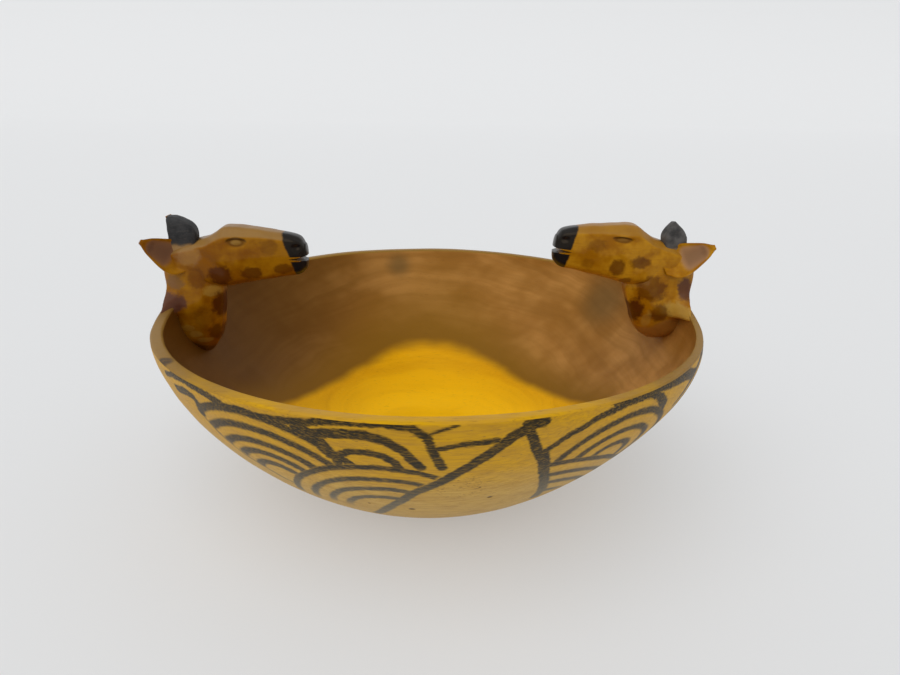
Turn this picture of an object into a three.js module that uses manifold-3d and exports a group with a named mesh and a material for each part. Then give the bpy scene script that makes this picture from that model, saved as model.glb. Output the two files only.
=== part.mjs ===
// A carved wooden bowl with two giraffe heads that face each other across its opening.
// Millimetres, +Z up, origin at the centre of the flat underside, the heads along X.
import * as THREE from 'three';
import { mergeVertices } from 'three/addons/utils/BufferGeometryUtils.js';
import Module from 'manifold-3d';

// Driving dimensions
const RIM_RADIUS = 95;
const BOWL_HEIGHT = 64;
const BASE_RADIUS = 30;
const WALL = 4;
const FLOOR = 6;
const FLOOR_RADIUS = 28;
const RIM_ROUNDING = 0.8;
const CARVING_GAP = 0.3;

// Facets
const BOWL_SEGMENTS = 64;
const PROFILE_STEPS = 12;
const BODY_SIDES = 18;
const RINGS_PER_STATION = 2;

const wasm = await Module();
wasm.setup();

// Solids

function solidOf(geometry) {
  const bare = new THREE.BufferGeometry();
  bare.setAttribute('position', geometry.getAttribute('position'));
  bare.setIndex(geometry.getIndex());
  const merged = mergeVertices(bare, 1e-3);
  return new wasm.Manifold(new wasm.Mesh({
    numProp: 3,
    vertProperties: new Float32Array(merged.getAttribute('position').array),
    triVerts: new Uint32Array(merged.getIndex().array),
  }));
}

function geometryOf(solid) {
  const mesh = solid.getMesh();
  const geometry = new THREE.BufferGeometry();
  geometry.setAttribute('position', new THREE.BufferAttribute(mesh.vertProperties, 3));
  geometry.setIndex(new THREE.BufferAttribute(mesh.triVerts, 1));
  geometry.computeVertexNormals();
  return geometry;
}

// The cut leaves chips where the cutter runs past a thin edge, and only the main body is kept.
function largestBody(solid) {
  return solid.decompose().reduce((best, body) => (body.volume() > best.volume() ? body : best));
}

// The bowl is a surface of revolution. Grown by a gap, it is the cutter for what stands against it.

// A wall curve leaves its flat level and sweeps up to stand upright at the rim. Its two reaches say how slowly it
// turns there.
function wallCurve({ height, flatRadius, flatReach, rimRadius, rimReach }) {
  return new THREE.CubicBezierCurve(
    new THREE.Vector2(flatRadius, height),
    new THREE.Vector2(flatRadius + flatReach, height),
    new THREE.Vector2(rimRadius, BOWL_HEIGHT - rimReach),
    new THREE.Vector2(rimRadius, BOWL_HEIGHT),
  );
}

const outsideCurve = wallCurve({
  height: 0,
  flatRadius: BASE_RADIUS,
  flatReach: 26.4,
  rimRadius: RIM_RADIUS,
  rimReach: 18.7,
});
const insideCurve = wallCurve({
  height: FLOOR,
  flatRadius: FLOOR_RADIUS,
  flatReach: 26.5,
  rimRadius: RIM_RADIUS - WALL,
  rimReach: 15.5,
});

// Points along a wall curve, moved by grow into the air beside it: side is 1 outside the bowl and -1 inside.
function offsetPoints(curve, grow, side) {
  return curve.getPoints(PROFILE_STEPS).map((point, i) => {
    const tangent = curve.getTangent(i / PROFILE_STEPS);
    const towardAir = new THREE.Vector2(tangent.y, -tangent.x).multiplyScalar(side);
    return point.addScaledVector(towardAir, grow);
  });
}

function bowlGeometry(grow = 0) {
  const outside = offsetPoints(outsideCurve, grow, 1);
  const inside = offsetPoints(insideCurve, grow, -1).reverse();
  const outerEdge = outside.pop();
  const innerEdge = inside.shift();
  const rimTop = BOWL_HEIGHT + grow;
  const profile = [
    new THREE.Vector2(0, -grow),
    ...outside,
    new THREE.Vector2(outerEdge.x, BOWL_HEIGHT - RIM_ROUNDING),
    new THREE.Vector2(outerEdge.x - RIM_ROUNDING, rimTop),
    new THREE.Vector2(innerEdge.x + RIM_ROUNDING, rimTop),
    new THREE.Vector2(innerEdge.x, BOWL_HEIGHT - RIM_ROUNDING),
    ...inside,
    new THREE.Vector2(0, FLOOR + grow),
  ];
  return new THREE.LatheGeometry(profile, BOWL_SEGMENTS).rotateX(Math.PI / 2);
}

// Lofted bodies. A station is a centre with two half axes, and its ring is a rounded square or an ellipse
// between them. Curves through the stations give the rings in between.

function roundedPower(value, squareness) {
  return Math.sign(value) * Math.abs(value) ** (2 / squareness);
}

function lengthened(vector, grow) {
  return vector.clone().setLength(vector.length() + grow);
}

function loft(stations, { squareness = 2.4, grow = 0, shape = (offset) => offset } = {}) {
  const centres = new THREE.CatmullRomCurve3(stations.map((station) => station.centre));
  const acrossCurve = new THREE.CatmullRomCurve3(stations.map((station) => station.across));
  const upCurve = new THREE.CatmullRomCurve3(stations.map((station) => station.up));
  const ringCount = (stations.length - 1) * RINGS_PER_STATION + 1;
  const positions = [];
  const indices = [];
  const firstCentre = centres.getPoint(0);
  const lastCentre = centres.getPoint(1);
  const lengthening = lastCentre.clone().sub(firstCentre).setLength(grow);

  for (let ring = 0; ring < ringCount; ring += 1) {
    const t = ring / (ringCount - 1);
    const centre = centres.getPoint(t);
    if (ring === 0) centre.sub(lengthening);
    if (ring === ringCount - 1) centre.add(lengthening);
    const across = lengthened(acrossCurve.getPoint(t), grow);
    const up = lengthened(upCurve.getPoint(t), grow);
    for (let side = 0; side < BODY_SIDES; side += 1) {
      const angle = (2 * Math.PI * side) / BODY_SIDES;
      const offset = shape(new THREE.Vector2(
        roundedPower(Math.cos(angle), squareness),
        roundedPower(Math.sin(angle), squareness),
      ), t);
      const point = centre.clone().addScaledVector(across, offset.x).addScaledVector(up, offset.y);
      positions.push(point.x, point.y, point.z);
    }
  }
  const startCap = positions.length / 3;
  const endCap = startCap + 1;
  firstCentre.sub(lengthening);
  lastCentre.add(lengthening);
  positions.push(firstCentre.x, firstCentre.y, firstCentre.z, lastCentre.x, lastCentre.y, lastCentre.z);

  const lastRing = (ringCount - 1) * BODY_SIDES;
  for (let side = 0; side < BODY_SIDES; side += 1) {
    const next = (side + 1) % BODY_SIDES;
    for (let start = 0; start < lastRing; start += BODY_SIDES) {
      const above = start + BODY_SIDES;
      indices.push(start + side, start + next, above + next);
      indices.push(start + side, above + next, above + side);
    }
    indices.push(startCap, next, side);
    indices.push(endCap, lastRing + side, lastRing + next);
  }
  const geometry = new THREE.BufferGeometry();
  geometry.setAttribute('position', new THREE.Float32BufferAttribute(positions, 3));
  geometry.setIndex(indices);
  return geometry;
}

// The giraffe stands in a frame of its own: X outward from the bowl's axis, Z up from the rim plane.

const RIM_PLANE = new THREE.Matrix4().makeTranslation(0, 0, -BOWL_HEIGHT);

// A head's stations run from the nose to the back of the skull, each an upright cut across it.
function headStation(x, bottom, top, halfWidth) {
  return {
    centre: new THREE.Vector3(x, 0, (top + bottom) / 2),
    across: new THREE.Vector3(0, halfWidth, 0),
    up: new THREE.Vector3(0, 0, (top - bottom) / 2),
  };
}

const HEAD_STATIONS = [
  headStation(44.4, 15.2, 21.8, 2.6),
  headStation(46.4, 12.4, 25.2, 4.6),
  headStation(51.5, 11.3, 26.6, 5.3),
  headStation(58, 10.2, 27.6, 5.8),
  headStation(65, 9.2, 28.6, 6.6),
  headStation(71.5, 8.4, 28.3, 7.2),
  headStation(78, 8.2, 25, 7),
  headStation(85, 9.4, 22.8, 6.6),
  headStation(91, 12, 20, 4.6),
];

const HEAD_SQUARENESS = 3.2;
const HEAD_TOP_NARROWING = 0.24;

// A head narrows toward its top, where the forehead and the bridge of the nose are one flat facet.
function headSection(offset) {
  const narrowing = 1 - HEAD_TOP_NARROWING * Math.max(offset.y, 0);
  return new THREE.Vector2(offset.x * narrowing, offset.y);
}

function headGeometry(grow = 0) {
  return loft(HEAD_STATIONS, { squareness: HEAD_SQUARENESS, grow, shape: headSection });
}

const MOUTH_HEIGHT = 17.4;
const MOUTH_DEPTH = 5.5;
const MOUTH_OPENING = 1.6;
const MOUTH_WIDTH = 16;
const MOUTH_OVERRUN = 0.5;

// The mouth is a knife cut that opens toward the tip of the muzzle.
function mouthGeometry() {
  const wedge = new THREE.Shape();
  wedge.moveTo(0, -MOUTH_OPENING / 2);
  wedge.lineTo(MOUTH_DEPTH, 0);
  wedge.lineTo(0, MOUTH_OPENING / 2);
  wedge.closePath();
  const cut = new THREE.ExtrudeGeometry(wedge, { depth: MOUTH_WIDTH, bevelEnabled: false });
  cut.translate(0, 0, -MOUTH_WIDTH / 2).rotateX(Math.PI / 2);
  return cut.translate(HEAD_STATIONS[0].centre.x - MOUTH_OVERRUN, 0, MOUTH_HEIGHT);
}

// A neck's stations are level cuts, from its foot on the inner wall up into the head.
function neckStation(z, front, back, halfWidth) {
  return {
    centre: new THREE.Vector3((front + back) / 2, 0, z),
    across: new THREE.Vector3((back - front) / 2, 0, 0),
    up: new THREE.Vector3(0, halfWidth, 0),
  };
}

const NECK_STATIONS = [
  neckStation(-20, 81, 87, 2.6),
  neckStation(-16, 78, 90, 5),
  neckStation(-9, 75.6, 92.6, 7.6),
  neckStation(-2, 74.7, 94.4, 8.8),
  neckStation(4, 74, 94.2, 7.6),
  neckStation(9, 73.8, 93.8, 7),
  neckStation(14, 74.4, 94, 6.2),
];

const NECK_SQUARENESS = 2.6;

function neckGeometry(grow = 0) {
  return loft(NECK_STATIONS, { squareness: NECK_SQUARENESS, grow });
}

// An ear is a leaf that points back, out and up, with a scooped face. Its widths run from the root to the tip.
const EAR_ROOT = new THREE.Vector3(85, 5, 15.4);
const EAR_TIP = new THREE.Vector3(98, 10.8, 24.4);
const EAR_FACING = new THREE.Vector3(-0.35, 0.9, 0.3);
const EAR_HALF_WIDTHS = [3, 4.8, 5.4, 4.8, 3.2, 0.7];
const EAR_HALF_THICKNESS = 1.9;
const SCOOP = { start: 0.22, end: 0.92, widthShare: 0.62, halfThickness: 1.8 };

function earLoft({ start, end, widthShare, halfThickness, lift }) {
  const along = EAR_TIP.clone().sub(EAR_ROOT).normalize();
  const facing = EAR_FACING.clone().projectOnPlane(along).normalize();
  const across = new THREE.Vector3().crossVectors(facing, along);
  const stations = EAR_HALF_WIDTHS.map((halfWidth, i) => {
    const t = THREE.MathUtils.lerp(start, end, i / (EAR_HALF_WIDTHS.length - 1));
    return {
      centre: EAR_ROOT.clone().lerp(EAR_TIP, t).addScaledVector(facing, lift),
      across: across.clone().multiplyScalar(halfWidth * widthShare),
      up: facing.clone().multiplyScalar(halfThickness),
    };
  });
  return solidOf(loft(stations, { squareness: 2 }));
}

function earSolid() {
  const leaf = earLoft({ start: 0, end: 1, widthShare: 1, halfThickness: EAR_HALF_THICKNESS, lift: 0 });
  return leaf.subtract(earLoft({ ...SCOOP, lift: EAR_HALF_THICKNESS }));
}

// A horn is a short blunt stub, fullest above its middle, that leans back and out as it rises.
const HORN_FOOT = new THREE.Vector3(86, 3.7, 17);
const HORN_LEAN = new THREE.Vector3(0.05, 0.06, 1);
const HORN_SQUARENESS = 2.8;

function hornStation(rise, halfLength, halfWidth) {
  return {
    centre: HORN_FOOT.clone().addScaledVector(HORN_LEAN, rise),
    across: new THREE.Vector3(halfLength, 0, 0),
    up: new THREE.Vector3(0, halfWidth, 0),
  };
}

const HORN_STATIONS = [
  hornStation(0, 2.8, 2.1),
  hornStation(5, 3.8, 2.4),
  hornStation(9, 4.6, 2.7),
  hornStation(12.5, 4.2, 2.5),
  hornStation(14.8, 1.9, 1.5),
];

function hornGeometry(grow = 0) {
  return loft(HORN_STATIONS, { squareness: HORN_SQUARENESS, grow });
}

function mirroredAcrossX(solid) {
  return solid.mirror([0, 1, 0]);
}

// Materials

function wood(color, roughness) {
  return new THREE.MeshStandardMaterial({ color, roughness, metalness: 0 });
}

const tanWood = () => wood(0xc69a4c, 0.5);
const amberWood = () => wood(0xa86c14, 0.4);
const blackenedWood = () => wood(0x2c2b2c, 0.6);

function named(name, solid, material) {
  const mesh = new THREE.Mesh(geometryOf(solid), material);
  mesh.name = name;
  return mesh;
}

// Each element of a giraffe is cut back by the ones that it stands on, with the carving gap between them.
// Its ears and horns are named for the side of the bowl they are on, front (-Y) or back (+Y).
function giraffe(name, plusSide, minusSide) {
  const bowlCutter = solidOf(bowlGeometry(CARVING_GAP).applyMatrix4(RIM_PLANE));
  const headCutter = solidOf(headGeometry(CARVING_GAP));
  const skullCutter = headCutter.add(solidOf(neckGeometry(CARVING_GAP)));
  const hornCutter = solidOf(hornGeometry(CARVING_GAP));

  const head = solidOf(headGeometry()).subtract(solidOf(mouthGeometry()));
  const neck = largestBody(solidOf(neckGeometry()).subtract(bowlCutter).subtract(headCutter));
  const horn = largestBody(solidOf(hornGeometry()).subtract(skullCutter));
  const ear = largestBody(earSolid().subtract(skullCutter).subtract(hornCutter));

  const group = new THREE.Group();
  group.add(named(`${name}_neck`, neck, amberWood()));
  group.add(named(`${name}_head`, head, amberWood()));
  group.add(named(`${name}_${plusSide}_ear`, ear, amberWood()));
  group.add(named(`${name}_${minusSide}_ear`, mirroredAcrossX(ear), amberWood()));
  group.add(named(`${name}_${plusSide}_horn`, horn, blackenedWood()));
  group.add(named(`${name}_${minusSide}_horn`, mirroredAcrossX(horn), blackenedWood()));
  group.position.z = BOWL_HEIGHT;
  return group;
}

const bowlWithHeads = new THREE.Group();
bowlWithHeads.add(named('bowl', solidOf(bowlGeometry()), tanWood()));

const rightGiraffe = giraffe('right', 'back', 'front');
bowlWithHeads.add(rightGiraffe);

const leftGiraffe = giraffe('left', 'front', 'back');
leftGiraffe.rotation.z = Math.PI;
bowlWithHeads.add(leftGiraffe);

export default bowlWithHeads;
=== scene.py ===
"""A carved wooden bowl with two giraffe heads on its rim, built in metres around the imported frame."""
import math
from collections import namedtuple

import bpy
import numpy as np
from mathutils import Matrix, Vector, noise


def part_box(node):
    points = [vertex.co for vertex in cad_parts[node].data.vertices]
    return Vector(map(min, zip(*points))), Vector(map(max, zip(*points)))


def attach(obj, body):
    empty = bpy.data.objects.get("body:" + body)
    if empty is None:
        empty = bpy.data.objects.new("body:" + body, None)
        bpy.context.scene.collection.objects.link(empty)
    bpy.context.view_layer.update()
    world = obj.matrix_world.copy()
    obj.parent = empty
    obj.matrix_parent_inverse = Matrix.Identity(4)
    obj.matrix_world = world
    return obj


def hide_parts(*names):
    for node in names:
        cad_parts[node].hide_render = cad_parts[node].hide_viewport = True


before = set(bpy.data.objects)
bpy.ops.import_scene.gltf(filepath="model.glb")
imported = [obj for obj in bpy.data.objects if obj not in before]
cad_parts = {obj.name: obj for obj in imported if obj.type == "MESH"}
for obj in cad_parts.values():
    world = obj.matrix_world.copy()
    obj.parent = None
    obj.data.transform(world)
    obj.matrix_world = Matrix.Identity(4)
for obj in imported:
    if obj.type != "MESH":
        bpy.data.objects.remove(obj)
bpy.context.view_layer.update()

MM = 0.001
RIM_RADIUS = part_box("bowl")[1].x / MM
RIM_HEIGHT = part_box("bowl")[1].z / MM
SIDES = {"left": -1, "right": 1}


# ---------------- camera, light and floor

CAMERA_DISTANCE = 248.5
CAMERA_ELEVATION = math.radians(17.25)
CAMERA_YAW = math.radians(1.8)
CAMERA_PITCH = math.radians(20.06)
CAMERA_ROLL = math.radians(0.96)
PHONE_LENS = 27.04

DAYLIGHT = (0.97, 0.985, 1.0, 1)
ROOM_BRIGHTNESS = 0.62
WINDOW_FROM = (-0.35, -0.62, 0.9)
WINDOW_STRENGTH = 1.3
WINDOW_SPREAD = math.radians(75)
FLOOR_GREY = (0.44, 0.44, 0.44, 1)
FLOOR_GLOW = 0.33
FLOOR_ROUGHNESS = 0.7


def add_object(name, data):
    added = bpy.data.objects.new(name, data)
    bpy.context.scene.collection.objects.link(added)
    return added


def make_camera():
    data = bpy.data.cameras.new("camera")
    data.lens = PHONE_LENS
    data.clip_start = 0.01
    camera = add_object("camera", data)
    level_forward = Vector((math.sin(CAMERA_YAW), math.cos(CAMERA_YAW), 0))
    forward = level_forward * math.cos(CAMERA_PITCH) - Vector((0, 0, math.sin(CAMERA_PITCH)))
    right = Vector((math.cos(CAMERA_YAW), -math.sin(CAMERA_YAW), 0))
    up = right.cross(forward)
    rolled_right = right * math.cos(CAMERA_ROLL) + up * math.sin(CAMERA_ROLL)
    rolled_up = up * math.cos(CAMERA_ROLL) - right * math.sin(CAMERA_ROLL)
    eye = Vector((0, -math.cos(CAMERA_ELEVATION), math.sin(CAMERA_ELEVATION))) * CAMERA_DISTANCE
    eye.z += RIM_HEIGHT
    turn = Matrix((rolled_right, rolled_up, -forward)).transposed().to_4x4()
    camera.matrix_world = Matrix.Translation(eye * MM) @ turn
    bpy.context.scene.camera = camera


def make_world():
    world = bpy.data.worlds.new("studio")
    world.use_nodes = True
    background = world.node_tree.nodes["Background"]
    background.inputs["Color"].default_value = DAYLIGHT
    background.inputs["Strength"].default_value = ROOM_BRIGHTNESS
    bpy.context.scene.world = world


def make_window_light():
    """Light from one side that is as strong everywhere, and as soft as light from a wide window."""
    data = bpy.data.lights.new("window", "SUN")
    data.energy = WINDOW_STRENGTH
    data.angle = WINDOW_SPREAD
    light = add_object("window", data)
    light.location = WINDOW_FROM
    light.rotation_euler = (-Vector(WINDOW_FROM)).to_track_quat("-Z", "Y").to_euler()


def make_floor():
    """A floor that sweeps up into a backdrop all in one curve."""
    reach = 3.0
    bend = 1.2
    half_width = 4.0
    turns = np.linspace(0, math.pi / 2, 24)
    sweep = [(reach + bend * math.sin(turn), bend * (1 - math.cos(turn))) for turn in turns]
    profile = [(-reach, 0.0)] + sweep + [(reach + bend, reach)]
    vertices = [(x, y, z) for y, z in profile for x in (-half_width, half_width)]
    faces = [(2 * i, 2 * i + 1, 2 * i + 3, 2 * i + 2) for i in range(len(profile) - 1)]
    mesh = bpy.data.meshes.new("floor")
    mesh.from_pydata(vertices, [], faces)
    mesh.shade_smooth()
    material = bpy.data.materials.new("pale_floor")
    material.use_nodes = True
    shader = material.node_tree.nodes["Principled BSDF"]
    shader.inputs["Base Color"].default_value = FLOOR_GREY
    shader.inputs["Emission Color"].default_value = DAYLIGHT
    shader.inputs["Emission Strength"].default_value = FLOOR_GLOW
    shader.inputs["Roughness"].default_value = FLOOR_ROUGHNESS
    mesh.materials.append(material)
    floor = add_object("floor", mesh)


# ---------------- shader arithmetic

class Field:
    """A number or a vector that varies over a surface. Arithmetic on it adds nodes to the material."""

    def __init__(self, tree, socket):
        self.tree = tree
        self.socket = socket

    def node(self, kind, *values, out=0, **settings):
        made = self.tree.nodes.new(kind)
        for name, value in settings.items():
            setattr(made, name, value)
        for i, value in enumerate(values):
            if isinstance(value, Field):
                self.tree.links.new(value.socket, made.inputs[i])
            elif value is not None:
                made.inputs[i].default_value = value
        return Field(self.tree, made.outputs[out])

    def math(self, operation, *values):
        return self.node("ShaderNodeMath", self, *values, operation=operation)

    def __add__(self, other):
        return self.math("ADD", other)

    __radd__ = __add__

    def __sub__(self, other):
        return self.math("SUBTRACT", other)

    def __rsub__(self, other):
        return self.math("MULTIPLY", -1.0).math("ADD", other)

    def __mul__(self, other):
        return self.math("MULTIPLY", other)

    def __truediv__(self, other):
        return self.math("DIVIDE", other)

    def __abs__(self):
        return self.math("ABSOLUTE")

    def larger(self, other):
        return self.math("MAXIMUM", other)

    def smaller(self, other):
        return self.math("MINIMUM", other)

    def step(self, start, end):
        """0 up to start, 1 from end on, smooth in between; it falls instead where end is below start."""
        falls = end < start
        low, high = (end, start) if falls else (start, end)
        at_low, at_high = (1.0, 0.0) if falls else (0.0, 1.0)
        return self.node(
            "ShaderNodeMapRange", self, low, high, at_low, at_high, interpolation_type="SMOOTHSTEP")

    def vector_math(self, operation, *values, out=0):
        return self.node("ShaderNodeVectorMath", self, *values, operation=operation, out=out)

    def parts(self):
        outputs = self.node("ShaderNodeSeparateXYZ", self).socket.node.outputs
        return [Field(self.tree, outputs[i]) for i in range(3)]

    def offset_from(self, point):
        return self.vector_math("SUBTRACT", tuple(point))

    def dot(self, other):
        return self.vector_math("DOT_PRODUCT", other, out=1)

    def distance_to(self, point):
        return self.vector_math("DISTANCE", tuple(point), out=1)

    def stretched(self, along, across, offset=(0, 0, 0)):
        """Scaled by along on X, the way of the grain, and by across on Y and Z."""
        return self.vector_math("MULTIPLY", (along, across, across)).vector_math("ADD", offset)

    def noise(self, detail, roughness, out=0):
        """Features about 1 across, with finer ones inside them."""
        return self.node(
            "ShaderNodeTexNoise", self, None, 1.0, detail, roughness, noise_dimensions="3D", out=out)

    def mixed(self, first, second):
        """This field as the share of the second colour over the first."""
        colours = [c if isinstance(c, Field) else (*c, 1) for c in (first, second)]
        other_kinds = [None] * 5
        return self.node("ShaderNodeMix", self, *other_kinds, *colours, data_type="RGBA", out=2)

    def ramp(self, stops):
        """A colour for each place along 0 to 1."""
        made = self.node("ShaderNodeValToRGB", self)
        elements = made.socket.node.color_ramp.elements
        while len(elements) < len(stops):
            elements.new(0.5)
        for element, (place, colour) in zip(elements, stops):
            element.position = place
            element.color = (*colour, 1)
        return made


def layered(colour, *layers):
    """A colour under layers, each of them a share and a colour that is laid over the ones before it."""
    for share, over in layers:
        colour = share.mixed(colour, over)
    return colour


class Material:
    """A Principled material whose colour, roughness and relief are fields over the piece's own place."""

    def __init__(self, name, sheen_colour, coat=0.0, coat_roughness=0.2):
        self.material = bpy.data.materials.new(name)
        self.material.use_nodes = True
        self.tree = self.material.node_tree
        self.shader = self.tree.nodes["Principled BSDF"]
        self.shader.inputs["Specular IOR Level"].default_value = 0.25
        self.shader.inputs["Specular Tint"].default_value = (*sheen_colour, 1)
        self.shader.inputs["Coat Weight"].default_value = coat
        self.shader.inputs["Coat Roughness"].default_value = coat_roughness
        coordinates = self.tree.nodes.new("ShaderNodeTexCoord")
        metres = Field(self.tree, coordinates.outputs["Object"])
        self.place = metres.vector_math("SCALE", None, None, 1 / MM)

    def finish(self, colour, roughness, height, relief):
        """height is in millimetres, and relief says how strongly it shows."""
        self.tree.links.new(colour.socket, self.shader.inputs["Base Color"])
        self.tree.links.new(roughness.socket, self.shader.inputs["Roughness"])
        bump = self.tree.nodes.new("ShaderNodeBump")
        bump.inputs["Strength"].default_value = relief
        bump.inputs["Distance"].default_value = MM
        self.tree.links.new(height.socket, bump.inputs["Height"])
        self.tree.links.new(bump.outputs["Normal"], self.shader.inputs["Normal"])
        return self.material


# ---------------- the wood

# The grain runs along X. The growth rings are wide cylinders around an axis along Y far under the bowl, so
# on the bowl they follow height plus a little of X squared.
RING_SAG = 340.0


def ring_height(place):
    x, _, z = place.parts()
    return z + x * x / RING_SAG


def wood_fibres(place):
    """Fine streaks along the grain, between 0 and 1."""
    return place.stretched(0.09, 1.6).noise(4.0, 0.6)


def wood_pores(place):
    """Short dark pores along the grain, 1 in a pore."""
    return place.stretched(0.35, 2.4, (7, 3, 1)).noise(2.0, 0.5).step(0.62, 0.72)


# ---------------- the drawing outside

# The drawing is fans of concentric arcs and strokes round the bowl under the rim. Places on it are an
# azimuth in degrees and a depth down the wall from the rim in millimetres. A stroke is a chain of places,
# with a width at both ends.
Stroke = namedtuple("Stroke", "places width end_width")

LONG_DIAGONAL = Stroke(
    [(-74, 1.5), (-77.6, 5.3), (-82.4, 14.5), (-87.7, 24.2), (-93.3, 32.8), (-97.2, 42), (-101, 51),
     (-105, 60)], 3.7, 3.0)
SHORT_DIAGONAL = Stroke(
    [(-75.2, 3), (-73.4, 8.8), (-70.2, 19.4), (-67, 30.8), (-64, 42), (-62.5, 50)], 2.9, 3.3)
FAR_DIAGONAL = Stroke([(-134.5, 12), (-132.8, 19), (-130, 27), (-125, 33.5), (-120, 40)], 0.9, 0.9)
STROKES = [
    LONG_DIAGONAL,
    SHORT_DIAGONAL,
    FAR_DIAGONAL,
    Stroke([(-75.5, 1.6), (-72.8, 1.7)], 3.6, 3.0),
    Stroke([(-71.2, 14), (-69.0, 24)], 3.5, 3.9),
    Stroke([(-88.5, 8.8), (-85, 7.3), (-80, 6.1)], 1.9, 2.2),
    Stroke([(-90, 3.6), (-88, 2), (-86, 0.6)], 1.3, 1.0),
    Stroke([(-105.3, 17.5), (-105, 14.3), (-102.8, 11.6), (-100, 11.1), (-97.4, 12.4), (-95.6, 15),
            (-94.9, 18)], 2.8, 2.6),
    Stroke([(-108.5, 6.7), (-106, 5.4), (-103, 4.7), (-99.5, 4.6), (-96.6, 6.2), (-94.2, 9.8),
            (-91.3, 17)], 4.0, 3.0),
    Stroke([(-110, 3.4), (-106.5, 1.6), (-102.5, 0.7), (-97, 0.5), (-92.6, 1.4), (-90.4, 4.6),
            (-87.8, 17)], 2.4, 2.8),
    Stroke([(-110.3, 4.8), (-107.8, 8.0), (-105.8, 14)], 5.4, 3.8),
    Stroke([(-119, 4.0), (-114, 3.6), (-109, 2.6)], 2.4, 2.8),
    Stroke([(-143, 3), (-139, 1.6), (-134, 1.1), (-129, 1.7), (-125, 3.4)], 1.8, 3.0),
    Stroke([(-139.5, 6.6), (-136, 5.2), (-133.4, 5.6), (-132.8, 8), (-134, 12)], 3.0, 3.2),
    Stroke([(-71.3, 13.4), (-67.5, 7.6), (-62.7, 3.6), (-56.5, 1.2), (-51, 1.5), (-47.8, 4), (-45.2, 7.5),
            (-45, 10)], 2.2, 2.6),
    Stroke([(-60, 0.4), (-53, 0.5), (-47, 1.0), (-42, 1.7), (-37, 2.6), (-33, 4.6)], 2.2, 4.2),
    Stroke([(-48.5, 3.6), (-46, 7.6)], 3.0, 2.4),
]

# Each fan is centred on a place and lies over the fans before it. It may end at a stroke, on the side of it
# that is named, its arcs may be wider than high, and it may cover more than its arcs do.
Fan = namedtuple(
    "Fan", "azimuth depth radii edge side width stretch cover", defaults=(None, None, 2.6, 1.0, 0))

FANS = [
    Fan(-180, 26, (8, 14, 20.5, 27)),
    Fan(-165, 24, (7, 13, 19.5)),
    Fan(-178, 49, (7, 13, 19)),
    Fan(-120.8, 34.9, (8.4, 13.8, 19.2, 25.3, 31.0), FAR_DIAGONAL, "right", width=3.0),
    Fan(0, 26, (8, 14, 20.5, 27)),
    Fan(-25, 27, (9, 14.5, 20, 25.2)),
    Fan(-10, 50, (7, 13, 19)),
    Fan(-54, 25.0, (6.5, 12.5, 18.5), width=2.5, stretch=1.12, cover=24.0),
    Fan(-69, 61, (20, 27, 33, 39.6), SHORT_DIAGONAL, "right"),
    Fan(-99, 51, (14.2, 20.2, 26.2, 32.4), LONG_DIAGONAL, "left", stretch=0.88),
]
FAN_MARGIN = 1.3
FAN_BLUR = 0.3
INK_BLUR = 0.42
FANS_FADE_HEIGHTS = (21.0, 27.0)


# ---------------- meshes

def unit(offsets):
    return offsets / np.maximum(np.linalg.norm(offsets, axis=-1, keepdims=True), 1e-6)


def distance_along(path):
    """How far each point of a flat path is from its start, along the path."""
    return np.concatenate([[0], np.cumsum(np.hypot(*np.diff(path, axis=0).T))])


def new_mesh(name, vertices, faces):
    """A mesh from vertices in millimetres."""
    mesh = bpy.data.meshes.new(name)
    mesh.from_pydata([tuple(v) for v in vertices * MM], [], faces)
    return mesh


def add_piece(name, vertices, faces, material, node, sharp_angle=35):
    mesh = new_mesh(name, vertices, faces)
    mesh.materials.append(material)
    mesh.validate()
    mesh.shade_smooth()
    mesh.set_sharp_from_angle(angle=math.radians(sharp_angle))
    piece = add_object(name, mesh)
    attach(piece, "root")
    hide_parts(node)
    return piece


def ring_faces(ring_count, side_count, first_pole, last_pole):
    """Quads between rings that follow each other, and triangles from each end ring to its pole."""
    faces = []
    last = (ring_count - 1) * side_count
    for side in range(side_count):
        after = (side + 1) % side_count
        for start in range(0, last, side_count):
            above = start + side_count
            faces.append((start + side, start + after, above + after, above + side))
        faces.append((first_pole, after, side))
        faces.append((last_pole, last + side, last + after))
    return faces


def closed_loft(rings):
    """Vertices and faces of the closed body through rings, an array of ring by side by coordinate."""
    ring_count, side_count, _ = rings.shape
    poles = np.array([rings[0].mean(0), rings[-1].mean(0)])
    vertices = np.concatenate([rings.reshape(-1, 3), poles])
    first_pole = ring_count * side_count
    return vertices, ring_faces(ring_count, side_count, first_pole, first_pole + 1)


def smooth_noise(points, scale, seed):
    """A slow random number between -1 and 1 for each point, with features about scale millimetres wide."""
    offset = Vector((seed * 17.3, seed * 5.1, seed * 9.7))
    return np.array([noise.noise(Vector(p) / scale + offset) for p in points])


# ---------------- bowl

BASE_RADIUS = 30.0
WALL = 4.0
FLOOR_HEIGHT = 6.0
FLOOR_RADIUS = 28.0
RIM_ROUNDING = 0.9
POLE_RADIUS = 2.0
WALL_ROWS = 90
AROUND = 384


def bezier(points, count):
    t = np.linspace(0, 1, count)[:, None]
    a, b, c, d = (np.array(p, float) for p in points)
    return (1 - t) ** 3 * a + 3 * (1 - t) ** 2 * t * b + 3 * (1 - t) * t ** 2 * c + t ** 3 * d


def wall_curve(height, flat_radius, rim_radius, flat_reach, rim_reach):
    """From the edge of a flat, level at first, to the rim, where the wall stands upright."""
    start = np.array([flat_radius, height])
    end = np.array([rim_radius, RIM_HEIGHT])
    return bezier([start, start + (flat_reach, 0), end - (0, rim_reach), end], WALL_ROWS)


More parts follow.
